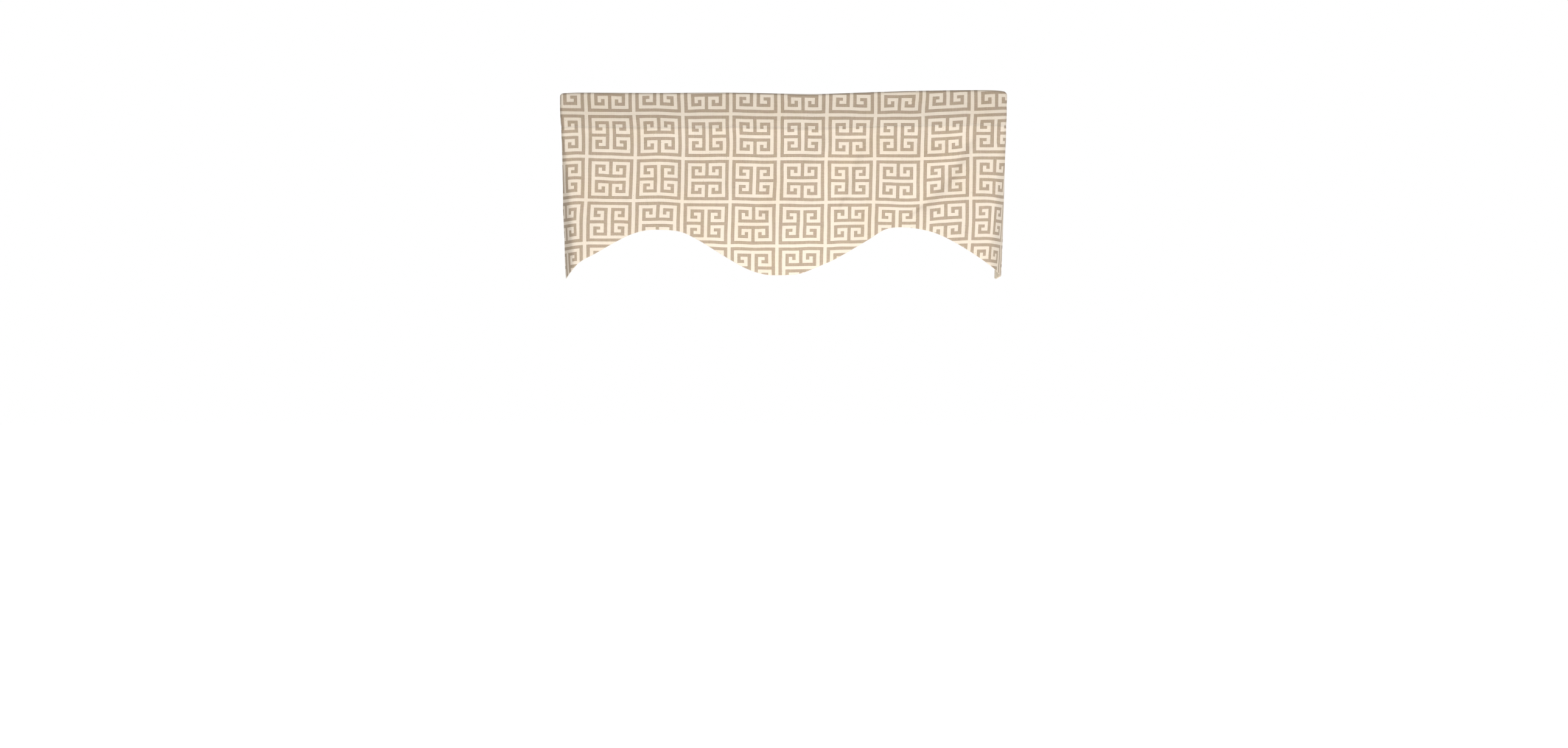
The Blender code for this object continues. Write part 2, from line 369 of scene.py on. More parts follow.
class Hanging:
    """The valance as it hangs: from a station and a drop to a point in space."""

    def __init__(self, sizes):
        self.width = sizes.face_width
        self.depth = sizes.return_depth
        self.drop = sizes.return_drop
        self.cotton = sizes.cotton_thickness
        self.lining = sizes.lining_thickness
        self.gap = sizes.layer_gap
        self.ruffle = sizes.ruffle
        self.roll_half = (2 * self.cotton + sizes.pocket_depth + self.lining + self.gap) / 2
        self.front_y = -self.roll_half
        self.wall_y = self.front_y + self.depth
        self.lining_inset = self.cotton + self.gap
        self.pocket_inset = self.cotton + sizes.pocket_depth
        self.tile = (sizes.block_width, sizes.block_height)

    def run(self, station):
        """Distance along the cloth from the middle of the face, measured at the pocket."""
        radius = CORNER_ROUND
        along = np.abs(station)
        return np.sign(station) * (
            np.minimum(along, 1) * (self.width / 2 - radius)
            + np.clip(along - 1, 0, 1) * radius * math.pi / 2
            + np.clip(along - 2, 0, 1) * (self.depth - radius)
        )

    def ripple(self, station, drop):
        """Small unevenness of both cloths, inwards: puckers at the seam, and slack below it."""
        run = self.run(station)
        below = drop - SEAM_DROP
        seam = GROOVE_DEPTH * np.exp(-((below / GROOVE_HALF) ** 2))
        reach = np.where(below < 0, *PUCKER_REACH)
        puckers = uneven(PUCKERS, run, drop) * np.exp(-np.abs(below) / reach)
        slack = uneven(SLACK, run, drop) + uneven(WIDE_SLACK, run, drop)
        fine = uneven(FINE, run, drop)
        loose = smooth(SEAM_DROP, SLACK_DROP, drop)
        pocket = uneven(POCKET, run, drop) * smooth(0.0, 0.02, drop)
        return self.ruffle * (seam + puckers + slack * loose + fine + pocket * (1 - loose))

    def setback(self, drop):
        to_seam = SEAM_SETBACK * smooth(POCKET_FLAT, SEAM_DROP, drop)
        return to_seam + (HANG_SETBACK - SEAM_SETBACK) * smooth(SEAM_DROP, LOOSE_DROP, drop)

    def corner(self, part, end, front, left, drop, inset):
        """X and Y along the turn, from 0 at the face to 1 at the return.

        Round the rod it is a quarter circle. Below it the cloth has a soft crease, and from there
        spreads outwards and turns by degrees towards the wall.
        """
        turn = part * math.pi / 2
        radius = np.maximum(CORNER_ROUND - inset, LEAST_RADIUS)
        round_x = end - inset - radius * (1 - np.sin(turn))
        round_y = front + inset + radius * (1 - np.cos(turn))
        wide = sided(left, CORNER, drop, (1, 3))
        deep = sided(left, CORNER, drop, (2, 4))
        at = -CREASE_BEFORE + (1 + CREASE_BEFORE) * part
        past = np.maximum(at, 0)

        def bent(value):
            return (value + np.sqrt(value * value + CREASE_SOFT**2)) / 2

        first, last = bent(-CREASE_BEFORE), bent(1.0)
        across = 2 * wide * (1 - past)
        back = deep / (last - first) * (1 + at / np.sqrt(at * at + CREASE_SOFT**2)) / 2
        length = np.hypot(across, back)
        free_x = end - wide * (1 - 2 * at + past * past) - inset * back / length
        free_y = front + deep * (bent(at) - first) / (last - first) + inset * across / length
        free = smooth(POCKET_FLAT, FREE_DROP, drop)
        return round_x + (free_x - round_x) * free, round_y + (free_y - round_y) * free

    def plan(self, station, drop, inset):
        """X and Y of a point at a station, on the level line that lies inset behind the front."""
        inset = inset + self.ripple(station, drop)
        left, side = station < 0, np.where(station < 0, -1.0, 1.0)
        end = self.width / 2 - sided(left, DRAW_IN, drop)
        front = self.front_y + self.setback(drop)
        along = np.abs(station)
        start_x, start_y = self.corner(0.0, end, front, left, drop, inset)
        turn_x, turn_y = self.corner(np.clip(along - 1, 0, 1), end, front, left, drop, inset)
        on_face = along <= 1
        back = np.clip(along - 2, 0, 1)
        bow = RETURN_BOW * smooth(SEAM_DROP, self.drop, drop) * np.sin(math.pi * back)
        flare = np.where(left, *RETURN_FLARE) * smooth(SEAM_DROP, self.drop, drop) * back
        x = side * (np.where(on_face, along * start_x, turn_x) - bow + flare)
        y = np.where(on_face, start_y, turn_y)
        y = y + back * (self.wall_y - y)
        fade = smooth(*FOLD_TOP, drop) * (1 - smooth(*FOLD_ENDS, np.abs(x)))
        y = y + on_face * fade * lines_depth(FOLDS, x, drop)
        return x, y + on_face * lines_depth(CREASES, x, drop)

    def seen(self, x, y, z):
        """X and drop at which a point looks to be, seen from the middle of the room."""
        nearer = VIEW_AWAY / (VIEW_AWAY + y - self.front_y)
        return VIEW_X + (x - VIEW_X) * nearer, -(VIEW_Z + (z - VIEW_Z) * nearer)

    def hem_at(self, station):
        """Drop of the hem at a station."""

        def hem_drop(station, drop):
            x, y = self.plan(station, drop, 0.0)
            across = np.abs(self.seen(x, y, -drop)[0])
            look = sided(station < 0, HEM, across)
            nearer = VIEW_AWAY / (VIEW_AWAY + y - self.front_y)
            return -VIEW_Z - (-VIEW_Z - look) / nearer

        turned = np.sign(station) * np.minimum(np.abs(station), TIP)
        drop = hem_drop(turned, hem_drop(turned, np.full(np.shape(station), self.drop)))
        back = np.clip((np.abs(station) - TIP) / (UP_TO_WALL - TIP), 0, 1)
        wall = np.where(station < 0, *RETURN_HEM)
        return drop + (wall - drop) * smooth(0.0, 0.5, back) - WALL_RISE * smooth(0.90, 1.0, back) ** 2

    def place(self, station, drop, inset):
        """Points of a cloth; the uneven top edge carries the pocket with it."""
        x, y = self.plan(station, drop, inset)
        lift = read(TOP_EDGE, x) * (1 - smooth(POCKET_FLAT, LOOSE_DROP, drop))
        sunk = self.run(UP_TO_RETURN) + SINK_PAST
        past_bend = smooth(self.run(SINK_FROM), sunk, np.abs(self.run(station)))
        sink = np.where(station < 0, *RETURN_SINK) * past_bend * (1 - smooth(0.0, POCKET_FLAT, drop))
        return np.stack(np.broadcast_arrays(x, y, lift - sink - drop), axis=-1)


def stations(end_short, depth):
    """Columns of a cloth, from the left wall to the right one."""
    half = [UP_TO_CORNER * k / FACE_STEPS for k in range(FACE_STEPS)]
    half += [UP_TO_CORNER + k / CORNER_STEPS for k in range(CORNER_STEPS)]
    half += [UP_TO_RETURN + k / RETURN_STEPS for k in range(RETURN_STEPS + 1)]
    half[-1] = UP_TO_WALL - end_short / depth
    return np.array([-s for s in reversed(half[1:])] + half)[:, None]


def upper_drops(first):
    """Drops from first down to where the cloth hangs free, closer together at the seam."""
    pocket = np.linspace(first, POCKET_FLAT, POCKET_STEPS, endpoint=False)
    above, below = SEAM_DROP - SEAM_ZONE, SEAM_DROP + SEAM_ZONE
    to_seam = np.linspace(POCKET_FLAT, above, SEAM_STEPS // 3, endpoint=False)
    seam = np.linspace(above, below, SEAM_STEPS, endpoint=False)
    to_loose = np.linspace(below, LOOSE_DROP, SEAM_STEPS // 2, endpoint=False)
    return np.concatenate([pocket, to_seam, seam, to_loose])


def hanging_drops(hem):
    """Drops of every column from LOOSE_DROP to its hem."""
    return LOOSE_DROP + (hem - LOOSE_DROP) * np.linspace(0, 1, HANGING_STEPS + 1)


def close_loop(outer, inner, thickness, sink):
    """Drops and insets round a cloth: down its outer side, round its hem, up inside, round its top.

    sink says which way the top edge points: 1 where it hangs down behind, -1 where it stands up.
    """
    turn = math.pi * np.arange(1, EDGE_STEPS + 1) / (EDGE_STEPS + 1)
    fall, step = thickness / 2 * np.sin(turn), thickness / 2 * (1 - np.cos(turn))
    drop = [outer[0], outer[0][:, -1:] + fall, inner[0][:, ::-1], outer[0][:, :1] + sink * fall]
    inset = [outer[1], outer[1][:, -1:] + step, inner[1][:, ::-1]]
    top = outer[1][:, :1] + (-step[::-1] if sink > 0 else step[::-1])
    return np.concatenate(drop, axis=1), np.concatenate([*inset, top], axis=1)


def cotton_loop(hanging, station):
    """Drops and insets of the cotton: up its turned edge, over the top, down the front, and back."""
    t, half = hanging.cotton, hanging.roll_half
    hem = hanging.hem_at(station) - t / 2
    turn = math.pi * (1 - np.arange(ROLL_STEPS + 1) / ROLL_STEPS)
    edge = np.linspace(TURN_DROP - t / 2, ROLL_HEIGHT, TURN_STEPS, endpoint=False)
    upper = upper_drops(ROLL_HEIGHT)[1:]

    def side(deep):
        drops = [edge, deep + (ROLL_HEIGHT - deep) * (1 - np.sin(turn)), upper]
        insets = [
            np.full(len(edge), 2 * half - deep),
            deep + (half - deep) * (1 - np.cos(turn)),
            np.full(len(upper), deep),
        ]
        rows = len(station)
        drop = np.tile(np.concatenate(drops), (rows, 1))
        inset = np.tile(np.concatenate(insets), (rows, 1))
        low = hanging_drops(hem)
        return (
            np.concatenate([drop, low], axis=1),
            np.concatenate([inset, np.full(low.shape, deep)], axis=1),
        )

    return close_loop(side(0.0), side(t), t, 1)


def lining_loop(hanging, station):
    """The same for the lining: down the pocket's back wall, then close behind the cotton to the hem."""
    t = hanging.lining
    hem = hanging.hem_at(station) - LINING_SHORT - t / 2
    upper = np.tile(upper_drops(LINING_TOP + t / 2), (len(station), 1))
    drop = np.concatenate([upper, hanging_drops(hem)], axis=1)
    apart = 1 - smooth(POCKET_FLAT, SEAM_DROP, drop)
    close = 0.0004 * smooth(-0.012, -0.001, drop - hem)
    inset = hanging.lining_inset + (hanging.pocket_inset - hanging.lining_inset) * apart - close
    return close_loop((drop, inset), (drop, inset + t), t, -1)


# -------- meshes


def running(points, axis):
    """Metres along an axis of a grid of points, from 0 at its first one."""
    step = np.linalg.norm(np.diff(points, axis=axis), axis=-1)
    return np.insert(np.cumsum(step, axis=axis), 0, 0.0, axis=axis)


def print_place(hanging, station, points, top_row):
    """Block coordinates of the print at each point of the cotton's outer side."""
    turned = np.sign(station) * np.minimum(np.abs(station), TIP)
    x, y, z = np.moveaxis(points, -1, 0)
    drop = -z
    corner_y = hanging.plan(turned, np.maximum(drop, 0.0), 0.0)[1]
    x_seen, drop_seen = hanging.seen(x, np.minimum(y, corner_y), z)
    across, down = hanging.tile
    bands = [read(UPRIGHTS, drop_seen, k) for k in range(1, len(UPRIGHTS[0]))]
    u = bands_passed(bands[:-1], x_seen, across)
    last, middle = bands[-2:]
    past = x_seen - last
    u = u + np.clip(past / (middle - last), 0, 1) / 2 - np.clip(past / across, 0, 0.5)
    levels = [read(LEVELS, x_seen, k) for k in range(1, len(LEVELS[0]))]
    v = 1 + bands_passed(levels, drop_seen, down)
    run = hanging.run(station)
    for kind in PRINT_ACROSS:
        u = u + uneven(kind, run, drop)
    for kind in PRINT_DOWN:
        v = v + uneven(kind, run, drop)
    away = running(points, 0)
    for side in (-1, 1):
        edge = int(np.argmin(np.abs(station[:, 0] - side)))
        beyond = side * station[:, 0] > UP_TO_CORNER
        u[beyond] = u[edge] + (away[beyond] - away[edge]) / across
    over = np.linalg.norm(np.diff(points[:, : top_row + 1], axis=1), axis=-1)[:, ::-1]
    v[:, :top_row] = (v[:, top_row : top_row + 1] - np.cumsum(over, axis=1) / down)[:, ::-1]
    u[:, :top_row] = u[:, top_row : top_row + 1]
    return u, v


def bands_passed(bands, value, pitch):
    """How many blocks of the print lie before a value, counted from the first band's own block."""
    count = 0.5 / BLOCK_UNITS + np.minimum(value - bands[0], 0) / pitch
    count = count + np.maximum(value - bands[-1], 0) / pitch
    for low, high in zip(bands, bands[1:]):
        count = count + np.clip((value - low) / (high - low), 0, 1)
    return count


def cloth_mesh(name, points, maps, outer_rows):
    """A closed mesh of loops of points, one loop for each column, with its ends capped."""
    columns, ring = points.shape[:2]
    index = np.arange(columns * ring).reshape(columns, ring)
    ahead = np.roll(index, -1, axis=1)
    sides = np.stack([index[:-1], ahead[:-1], ahead[1:], index[1:]], axis=-1).reshape(-1, 4)
    faces = [tuple(face) for face in sides.tolist()]
    inner_last = ring - EDGE_STEPS - 1
    for column, flip in ((0, True), (columns - 1, False)):
        for k in range(outer_rows - 1):
            face = (index[column, k], index[column, k + 1])
            face += (index[column, inner_last - k - 1], index[column, inner_last - k])
            faces.append(tuple(int(i) for i in (face[::-1] if flip else face)))
        hem = [int(i) for i in index[column, outer_rows - 1 : outer_rows + EDGE_STEPS + 1]]
        top = [int(i) for i in [*index[column, inner_last:], index[column, 0]]]
        faces += [tuple(hem[::-1] if flip else hem), tuple(top[::-1] if flip else top)]
    mesh = bpy.data.meshes.new(name)
    mesh.from_pydata(points.reshape(-1, 3).tolist(), [], faces)
    corners = np.zeros(len(mesh.loops), int)
    mesh.loops.foreach_get("vertex_index", corners)
    for map_name, (first, second) in maps.items():
        values = np.stack([first, second], axis=-1).reshape(-1, 2)[corners]
        mesh.uv_layers.new(name=map_name).data.foreach_set("uv", values.ravel().astype(np.float32))
    outside = np.zeros((columns, ring), np.float32)
    outside[:, :outer_rows] = 1.0
    layer = mesh.attributes.new("right_side", "FLOAT", "POINT")
    layer.data.foreach_set("value", outside.ravel())
    mesh.shade_smooth()
    mesh.set_sharp_from_angle(angle=math.radians(60))
    return mesh


def cloth_map(points, top_row, outer_rows):
    """Metres along and down the cloth, the same on both its sides, from the front of the top edge."""
    outer = points[:, :outer_rows]
    down = running(outer, 1)
    down = down - down[:, top_row : top_row + 1]
    along = running(outer, 0)
    along = along - along[len(along) // 2]
    return both_sides(along), both_sides(down)


def both_sides(outer):
    """Values of the outer side, repeated on the edges and on the inner side."""
    hem = np.repeat(outer[:, -1:], EDGE_STEPS, axis=1)
    top = np.repeat(outer[:, :1], EDGE_STEPS, axis=1)
    return np.concatenate([outer, hem, outer[:, ::-1], top], axis=1)


def add_object(name, data):
    """A new object in the scene."""
    made = bpy.data.objects.new(name, data)
    bpy.context.scene.collection.objects.link(made)
    return made


def put(name, mesh, *materials):
    """A finished piece that hangs on the frame."""
    piece = add_object(name, mesh)
    mesh.materials.clear()
    for each in materials:
        mesh.materials.append(each)
    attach(piece, "root")
    return piece


# -------- materials


class Nodes:
    """A short way to add nodes to a tree and to join them."""

    def __init__(self, tree):
        self.tree = tree

    def add(self, kind, *values, **settings):
        """Adds a node. Each value goes to an input in turn: a number, a colour or another socket."""
        node = self.tree.nodes.new(kind)
        for key, value in settings.items():
            setattr(node, key, value)
        for socket, value in zip([s for s in node.inputs if s.enabled], values):
            self.give(socket, value)
        return node

    def give(self, socket, value):
        if isinstance(value, bpy.types.NodeSocket):
            self.tree.links.new(value, socket)
        elif value is not None:
            socket.default_value = value

    def give_named(self, node, **values):
        for name, value in values.items():
            self.give(node.inputs[name.replace("_", " ")], value)

    def math(self, operation, *values):
        return self.add("ShaderNodeMath", *values, operation=operation).outputs[0]

    def times(self, value, factor):
        return self.math("MULTIPLY", value, factor)

    def plus(self, value, other):
        return self.math("ADD", value, other)

    def scaled(self, value, factor, offset=0.0):
        return self.math("MULTIPLY_ADD", value, factor, offset)

    def mix(self, share, first, second, blend="MIX"):
        node = self.add("ShaderNodeMix", data_type="RGBA", blend_type=blend)
        for name, value in (("Factor", share), ("A", first), ("B", second)):
            socket = next(s for s in node.inputs if s.name == name and s.enabled)
            self.give(socket, (*value, 1.0) if isinstance(value, tuple) else value)
        return next(s for s in node.outputs if s.enabled)

    def choose(self, share, first, second):
        return self.add("ShaderNodeMix", share, first, second, data_type="FLOAT").outputs[0]

    def noise(self, vector, scale, detail=2.0, roughness=0.5, output="Fac"):
        node = self.add("ShaderNodeTexNoise", noise_dimensions="2D")
        self.give_named(node, Vector=vector, Scale=scale, Detail=detail, Roughness=roughness)
        return node.outputs[output]

    def vector(self, operation, *values, scale=None):
        node = self.add("ShaderNodeVectorMath", *values, operation=operation)
        if scale is not None:
            self.give(node.inputs["Scale"], scale)
        return node.outputs[0]

    def split(self, vector):
        return self.add("ShaderNodeSeparateXYZ", vector).outputs

    def between(self, value, low, high, to_low, to_high):
        node = self.add("ShaderNodeMapRange", value, low, high, to_low, to_high)
        node.interpolation_type = "SMOOTHSTEP"
        return node.outputs[0]


# The matt shader of both cloths; the thread has the same without the sheen
CLOTH = {"Roughness": 0.88, "Specular_IOR_Level": 0.22, "Sheen_Weight": 0.12, "Sheen_Roughness": 0.45}
THREAD = {**CLOTH, "Sheen_Weight": 0.0}


def new_material(name, **values):
    """A material with these values on its shader, ready for its colour and relief."""
    material = bpy.data.materials.new(name)
    material.use_nodes = True
    shader = material.node_tree.nodes["Principled BSDF"]
    n = Nodes(material.node_tree)
    n.give_named(shader, **values)
    return material, shader, n


def add_relief(n, shader, height, strength, distance):
    """Fine relief of the surface, at most distance high."""
    bump = n.add("ShaderNodeBump")
    n.give_named(bump, Strength=strength, Distance=distance, Height=height)
    n.give(shader.inputs["Normal"], bump.outputs[0])


def streaks(n, value, high, base, darker, lighter):
    """A colour that goes from darker to lighter with the yarns."""
    ends = [tuple(share * channel for channel in base) for share in (darker, lighter)]
    return n.mix(n.between(value, STREAK_LOW, high, 0.0, 1.0), *ends)


def weave(n, cloth, spacing, yarn, share):
    """Height of a plain weave, with its yarns spacing apart, a little uneven, and of uneven thickness."""
    wander = n.noise(cloth, 90.0)
    x, y, _ = n.split(cloth)
    turn = math.pi / spacing
    warp = n.math("SINE", n.plus(n.times(x, turn), n.times(wander, 9.0)))
    weft = n.math("SINE", n.plus(n.times(y, turn), n.times(wander, 7.0)))
    return n.scaled(n.scaled(n.times(warp, weft), 0.5, 0.5), 0.6, n.times(yarn, share))


def yarns(n, cloth):
    """Uneven yarns of both directions, about 0 to 1: thick and thin places drawn out along them."""
    level = n.noise(n.vector("MULTIPLY", cloth, (38.0, 480.0, 1.0)), 1.0)
    upright = n.noise(n.vector("MULTIPLY", cloth, (460.0, 30.0, 1.0)), 1.0)
    return n.scaled(n.plus(level, upright), 0.5)


def flecks(n, cloth, spacing, radius, share):
    """1 on the small dark seed flecks of unbleached cotton, and 0 elsewhere."""
    cells = n.add("ShaderNodeTexVoronoi", voronoi_dimensions="2D", feature="F1")
    n.give_named(cells, Vector=cloth, Scale=1.0 / spacing)
    lot = n.add("ShaderNodeSeparateColor", cells.outputs["Color"]).outputs[0]
    there = n.math("GREATER_THAN", lot, 1 - share)
    dot = n.math("LESS_THAN", cells.outputs["Distance"], radius / spacing)
    return n.times(there, dot)


def folded(n, value):
    """Distance into a block, in units, mirrored about the block's middle line."""
    units = n.times(n.math("FRACT", value), float(BLOCK_UNITS))
    middle = (BLOCK_UNITS + 1) / 2
    return n.math("SUBTRACT", middle, n.math("ABSOLUTE", n.math("SUBTRACT", units, middle)))


def key_ramp(n, row, column):
    """The quarter block laid out as one long row of a ramp, 1 on taupe."""
    size = len(QUARTER)
    ramp = n.add("ShaderNodeValToRGB")
    ramp.color_ramp.interpolation = "CONSTANT"
    stops = ramp.color_ramp.elements
    text = "".join(QUARTER)
    changes = [k for k in range(1, len(text)) if text[k] != text[k - 1]]
    stops[0].position, stops[0].color = 0.0, (0, 0, 0, 1)
    stops.remove(stops[1])
    for k in changes:
        stop = stops.new(k / len(text))
        stop.color = (1, 1, 1, 1) if text[k] == "#" else (0, 0, 0, 1)
    place = n.scaled(n.math("FLOOR", row), float(size), column)
    n.give(ramp.inputs["Fac"], n.math("DIVIDE", place, float(len(text))))
    return ramp.outputs["Color"]


def key_pattern(n, cloth, bleed):
    """1 where the print is taupe. Neighbouring blocks are turned a quarter against each other."""
    block = n.add("ShaderNodeUVMap", uv_map="print").outputs[0]
    wander = n.noise(cloth, 500.0, 1.0, output="Color")
    shift = n.vector("SCALE", n.vector("SUBTRACT", wander, (0.5, 0.5, 0.5)), scale=bleed)
    u, v, _ = n.split(n.vector("ADD", block, shift))
    number = n.plus(n.math("FLOOR", u), n.math("FLOOR", v))
    upright = n.math("FLOORED_MODULO", number, 2.0)
    across, down = folded(n, u), folded(n, v)
    return key_ramp(n, n.choose(upright, across, down), n.choose(upright, down, across))


def cotton_material(sizes, colours):
    """Printed cotton: a taupe key pattern on cream, with yarns, seed flecks and shade painted over the
    pocket.
    """
    material, shader, n = new_material("printed_cotton", **CLOTH)
    cloth = n.add("ShaderNodeUVMap", uv_map="cloth").outputs[0]
    pattern = key_pattern(n, cloth, PRINT_BLEED)
    right = n.add("ShaderNodeAttribute", attribute_name="right_side").outputs["Fac"]
    pattern = n.times(pattern, right)
    yarn = yarns(n, cloth)
    grain = n.noise(cloth, 560.0, 2.0, 0.6)
    heather = n.scaled(n.plus(yarn, grain), 0.5)
    light = streaks(n, heather, 0.60, colours.cream, 0.945, 1.02)
    dark = streaks(n, heather, 0.62, colours.taupe, 0.90, 1.09)
    tint = n.noise(cloth, 85.0, 1.0)
    dark = n.mix(n.between(tint, 0.35, 0.65, 0.0, 1.0), dark, (0.985, 1.01, 0.975), "MULTIPLY")
    colour = n.mix(pattern, light, dark)
    soft = n.noise(cloth, 11.0, 3.0)
    colour = n.mix(n.between(soft, 0.42, 0.72, 0.0, 0.35), colour, (1.0, 0.965, 0.90), "MULTIPLY")
    # Painted shade: above the seam the pocket is drawn darker and greyer, for the light that does not
    # come through the pocket from behind; its lower edge wanders a little.
    down = n.split(cloth)[1]
    edge = n.noise(cloth, 16.0, 2.0)
    level = n.scaled(edge, 0.008, down)
    painted_shade_share = n.between(level, SEAM_DROP, SEAM_DROP + 0.005, 1.0, 0.0)
    colour = n.mix(painted_shade_share, colour, tuple(colours.pocket_painted_shade), "MULTIPLY")
    seeds = n.times(flecks(n, cloth, 0.019, 0.0007, 0.14), 0.5)
    colour = n.mix(seeds, colour, (0.20, 0.14, 0.09))
    n.give(shader.inputs["Base Color"], colour)
    add_relief(n, shader, weave(n, cloth, sizes.yarn_spacing, yarn, 0.8), 0.35, 0.00022)
    return material


def lining_material(sizes, colours):
    """Unbleached cotton lining: a closer weave, with slubs and more seed flecks."""
    material, shader, n = new_material("plain_lining", **CLOTH)
    cloth = n.add("ShaderNodeUVMap", uv_map="cloth").outputs[0]
    yarn = yarns(n, cloth)
    colour = streaks(n, yarn, 0.62, colours.lining, 0.90, 1.04)
    soft = n.noise(cloth, 9.0, 3.0)
    colour = n.mix(n.between(soft, 0.4, 0.7, 0.0, 0.5), colour, (0.985, 0.965, 0.935), "MULTIPLY")
    seeds = n.times(flecks(n, cloth, 0.012, 0.0006, 0.22), 0.6)
    colour = n.mix(seeds, colour, (0.20, 0.13, 0.07))
    n.give(shader.inputs["Base Color"], colour)
    height = weave(n, cloth, sizes.yarn_spacing * LINING_FINER, yarn, 0.9)
    add_relief(n, shader, height, 0.35, 0.0002)
    return material


def thread_material(colours):
    """Sewing thread, with its twist as a fine diagonal relief."""
    material, shader, n = new_material("thread", **THREAD)
    place = n.add("ShaderNodeTexCoord").outputs["Object"]
    x, y, z = n.split(place)
    lean = n.plus(n.plus(x, y), n.times(z, 1.6))
    twist = n.scaled(n.math("SINE", n.times(lean, 14000.0)), 0.5, 0.5)
    base = tuple(colours.thread)
    shadow = tuple(0.85 * channel for channel in base)
    n.give(shader.inputs["Base Color"], n.mix(twist, shadow, base))
    add_relief(n, shader, twist, 0.4, 0.00008)
    return material


# -------- stitches

STITCH_SHORT = 0.004  # how far the rows stop before the cotton's ends
STITCH_RISE = 0.4  # how far a stitch stands out, in thread radii
STITCH_INPUTS = ("Pitch", "Stitch Length", "Thread Radius", "Rise", "Outward")


def stitch_tree(material):
    """Geometry nodes: short arcs of thread set along a line, lying on the cloth."""
    tree = bpy.data.node_groups.new("stitch_row", "GeometryNodeTree")
    face = tree.interface
    face.new_socket("Line", in_out="INPUT", socket_type="NodeSocketGeometry")
    for name in STITCH_INPUTS:
        face.new_socket(name, in_out="INPUT", socket_type="NodeSocketFloat")
    face.new_socket("Stitches", in_out="OUTPUT", socket_type="NodeSocketGeometry")
    n = Nodes(tree)
    given = n.add("NodeGroupInput").outputs
    line = n.add("GeometryNodeMeshToCurve", given["Line"]).outputs[0]
    points = n.add("GeometryNodeResampleCurve", mode="LENGTH")
    n.give_named(points, Curve=line, Length=given["Pitch"])
    tangent = n.add("GeometryNodeInputTangent").outputs[0]
    across = n.vector("CROSS_PRODUCT", tangent, (0.0, 0.0, 1.0))
    across = n.vector("SCALE", across, scale=given["Outward"])
    turn = n.add("FunctionNodeAxesToRotation", primary_axis="X", secondary_axis="Z")
    n.give(turn.inputs[0], tangent)
    n.give(turn.inputs[1], across)
    placed = n.add("GeometryNodeInstanceOnPoints")
    stitch = thread_arc(n, given)
    n.give_named(placed, Points=points.outputs[0], Instance=stitch, Rotation=turn.outputs[0])
    real = n.add("GeometryNodeRealizeInstances", placed.outputs[0]).outputs[0]
    finished = n.add("GeometryNodeSetMaterial")
    n.give_named(finished, Geometry=real, Material=material)
    n.add("NodeGroupOutput", finished.outputs[0])
    return tree


def thread_arc(n, given):
    """One stitch: a round thread that rises from the cloth and dips into it again."""
    half = n.times(given["Stitch Length"], 0.5)
    sunk = n.times(given["Thread Radius"], -0.9)
    top = n.times(given["Rise"], 2.0)
    ends = [
        n.add("ShaderNodeCombineXYZ", x, 0.0, z).outputs[0]
        for x, z in ((n.times(half, -1.0), sunk), (0.0, top), (half, sunk))
    ]
    arc = n.add("GeometryNodeCurveQuadraticBezier")
    n.give_named(arc, Resolution=6, Start=ends[0], Middle=ends[1], End=ends[2])
    ring = n.add("GeometryNodeCurvePrimitiveCircle", mode="RADIUS")
    n.give_named(ring, Resolution=6, Radius=given["Thread Radius"])
    tube = n.add("GeometryNodeCurveToMesh")
    n.give_named(tube, Curve=arc.outputs[0], Profile_Curve=ring.outputs[0], Fill_Caps=True)
    return tube.outputs[0]


def stitch_row(name, tree, path, values):
    """Runs the stitch tree along a path of points and keeps the result as a plain mesh."""
    line = bpy.data.meshes.new(name + "_line")
    line.from_pydata([tuple(p) for p in path.tolist()], [(k, k + 1) for k in range(len(path) - 1)], [])
    holder = add_object(name + "_line", line)
    modifier = holder.modifiers.new("stitches", "NODES")
    modifier.node_group = tree
    sockets = {s.name: s.identifier for s in tree.interface.items_tree if s.in_out == "INPUT"}
    for key, value in zip(STITCH_INPUTS, values):
        modifier[sockets[key]] = float(value)
    graph = bpy.context.evaluated_depsgraph_get()
    mesh = bpy.data.meshes.new_from_object(holder.evaluated_get(graph))
    bpy.data.objects.remove(holder, do_unlink=True)
    mesh.name = name
    mesh.shade_smooth()
    return mesh


def seam_path(hanging, drop, inset):
    """Points at one drop, from wall to wall, just outside a cloth."""
    station = stations(STITCH_SHORT, hanging.depth)
    return hanging.place(station, np.full(station.shape, drop), inset)[:, 0]


# -------- properties


def metres(name, description, default, **limits):
    """A property in metres."""
    return FloatProperty(
        name=name, description=description, default=default, unit="LENGTH", **limits
    )


def paint(name, description, default):
    """A colour property."""
    return FloatVectorProperty(
        name=name, description=description, default=default, size=3, subtype="COLOR"
    )


class ValanceSizes(PropertyGroup):
    """Sizes of the valance, in metres."""

    face_width: metres("Face width", "Across the front, at the rod", FACE_WIDTH, min=0.3)
    return_depth: metres("Return depth", "From the front of the face to the wall", 0.117, min=0.05)
    return_drop: metres("Return drop", "From the top edge to the lowest hem", 0.443, min=0.2)
    cotton_thickness: metres("Cotton", "Thickness of the printed cotton", 0.0011, min=0.0003)
    lining_thickness: metres("Lining", "Thickness of the lining", 0.0010, min=0.0003)
    layer_gap: metres("Layer gap", "Between two cloths that lie on each other", 0.0006)
    pocket_depth: metres("Pocket depth", "Clear depth of the rod pocket, front to back", 0.013)
    ruffle: FloatProperty(
        name="Ruffle",
        description="How strong the small puckers and the slack of the cloth are",
        default=1.0,
        min=0.0,
        max=1.5,
    )
    block_width: metres("Block width", "Width of one block of the print", 0.1135)
    block_height: metres("Block height", "Height of one block of the print", 0.1036)
    yarn_spacing: metres("Yarn spacing", "Between neighbouring yarns of the cotton", 0.00048)
    stitch_pitch: metres("Stitch pitch", "From one stitch to the next", 0.0034, min=0.001)
    stitch_length: metres("Stitch length", "Length of one stitch that shows", 0.0027)
    thread_radius: metres("Thread radius", "Half the thickness of the thread", 0.0001)


